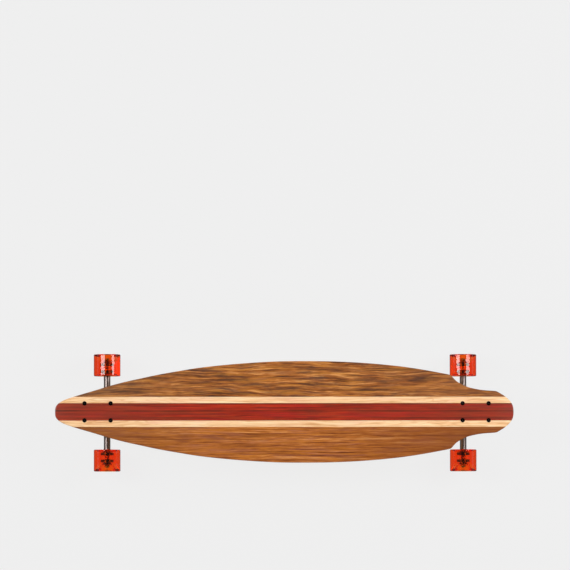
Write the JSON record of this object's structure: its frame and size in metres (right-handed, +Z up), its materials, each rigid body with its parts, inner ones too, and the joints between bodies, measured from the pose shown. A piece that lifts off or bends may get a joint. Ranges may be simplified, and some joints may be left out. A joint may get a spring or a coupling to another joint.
{
  "type": "longboard skateboard",
  "caption": "Long wooden skateboard deck with length-wise inlaid stripes, sprung steering trucks and translucent urethane wheels.",
  "frame": {"origin": "middle of the board's length and width, on the surface that the wheels stand on", "axes": "+X towards the nose (rounded end with wheel cut-outs), +Y to the board's left, +Z up"},
  "size_m": [1.1176, 0.286, 0.121],
  "materials": {
    "maple_ply": "clear satin",
    "padauk": "clear satin",
    "pale_maple": "clear satin",
    "walnut": "clear satin",
    "black_steel": "black oxide",
    "zinc": "bright zinc",
    "steel": "bright",
    "cast_truck": "polished casting",
    "rubber": "matt",
    "black_plastic": "matt",
    "bushing_urethane": "satin urethane",
    "wheel_urethane": "translucent urethane"
  },
  "bodies": {
    "deck": {"deck_core": "maple_ply", "deck_center_stringer": "padauk", "deck_pale_strip_left": "pale_maple", "deck_pale_strip_right": "pale_maple", "deck_side_panel_left": "walnut", "deck_side_panel_right": "walnut", "bolt_rear_inner_left": "black_steel", "locknut_rear_inner_left": "zinc", "bolt_rear_inner_right": "black_steel", "locknut_rear_inner_right": "zinc", "bolt_rear_outer_left": "black_steel", "locknut_rear_outer_left": "zinc", "bolt_rear_outer_right": "black_steel", "locknut_rear_outer_right": "zinc", "bolt_front_inner_left": "black_steel", "locknut_front_inner_left": "zinc", "bolt_front_inner_right": "black_steel", "locknut_front_inner_right": "zinc", "bolt_front_outer_left": "black_steel", "locknut_front_outer_left": "zinc", "bolt_front_outer_right": "black_steel", "locknut_front_outer_right": "zinc", "front_riser": "rubber", "front_baseplate": "cast_truck", "front_pivot_cup": "black_plastic", "front_kingpin": "steel", "front_kingpin_nut": "zinc", "front_bushing_washer_boardside": "zinc", "front_bushing_boardside": "bushing_urethane", "front_bushing_roadside": "bushing_urethane", "front_bushing_washer_roadside": "zinc", "rear_riser": "rubber", "rear_baseplate": "cast_truck", "rear_pivot_cup": "black_plastic", "rear_kingpin": "steel", "rear_kingpin_nut": "zinc", "rear_bushing_washer_boardside": "zinc", "rear_bushing_boardside": "bushing_urethane", "rear_bushing_roadside": "bushing_urethane", "rear_bushing_washer_roadside": "zinc"},
    "front_truck": {"front_hanger": "cast_truck", "front_axle": "steel", "front_axle_nut_left": "zinc", "front_axle_nut_right": "zinc"},
    "front_wheel_left": {"front_wheel_left": "wheel_urethane", "front_bearing_left_inner": "zinc", "front_bearing_left_outer": "zinc"},
    "front_wheel_right": {"front_wheel_right": "wheel_urethane", "front_bearing_right_inner": "zinc", "front_bearing_right_outer": "zinc"},
    "rear_truck": {"rear_hanger": "cast_truck", "rear_axle": "steel", "rear_axle_nut_left": "zinc", "rear_axle_nut_right": "zinc"},
    "rear_wheel_left": {"rear_wheel_left": "wheel_urethane", "rear_bearing_left_inner": "zinc", "rear_bearing_left_outer": "zinc"},
    "rear_wheel_right": {"rear_wheel_right": "wheel_urethane", "rear_bearing_right_inner": "zinc", "rear_bearing_right_outer": "zinc"}
  },
  "joints": [
    {"name": "front_steer", "type": "hinge", "parent": "deck", "child": "front_truck", "pos_m": [0.42195, 0, 0.0279], "axis": [0.6428, 0, 0.766], "range_deg": [-20, 20], "stiffness_Nm_per_rad": 60, "deforming": ["front_bushing_boardside", "front_bushing_roadside"]},
    {"name": "front_wheel_left_spin", "type": "hinge", "parent": "front_truck", "child": "front_wheel_left", "pos_m": [0.44145, 0.1165, 0.0325], "axis": [0, 1, 0], "continuous": true},
    {"name": "front_wheel_right_spin", "type": "hinge", "parent": "front_truck", "child": "front_wheel_right", "pos_m": [0.44145, -0.1165, 0.0325], "axis": [0, 1, 0], "continuous": true},
    {"name": "rear_steer", "type": "hinge", "parent": "deck", "child": "rear_truck", "pos_m": [-0.41165, 0, 0.0279], "axis": [0.6428, 0, -0.766], "range_deg": [-20, 20], "stiffness_Nm_per_rad": 60, "deforming": ["rear_bushing_boardside", "rear_bushing_roadside"]},
    {"name": "rear_wheel_left_spin", "type": "hinge", "parent": "rear_truck", "child": "rear_wheel_left", "pos_m": [-0.43115, 0.1165, 0.0325], "axis": [0, 1, 0], "continuous": true},
    {"name": "rear_wheel_right_spin", "type": "hinge", "parent": "rear_truck", "child": "rear_wheel_right", "pos_m": [-0.43115, -0.1165, 0.0325], "axis": [0, 1, 0], "continuous": true}
  ]
}
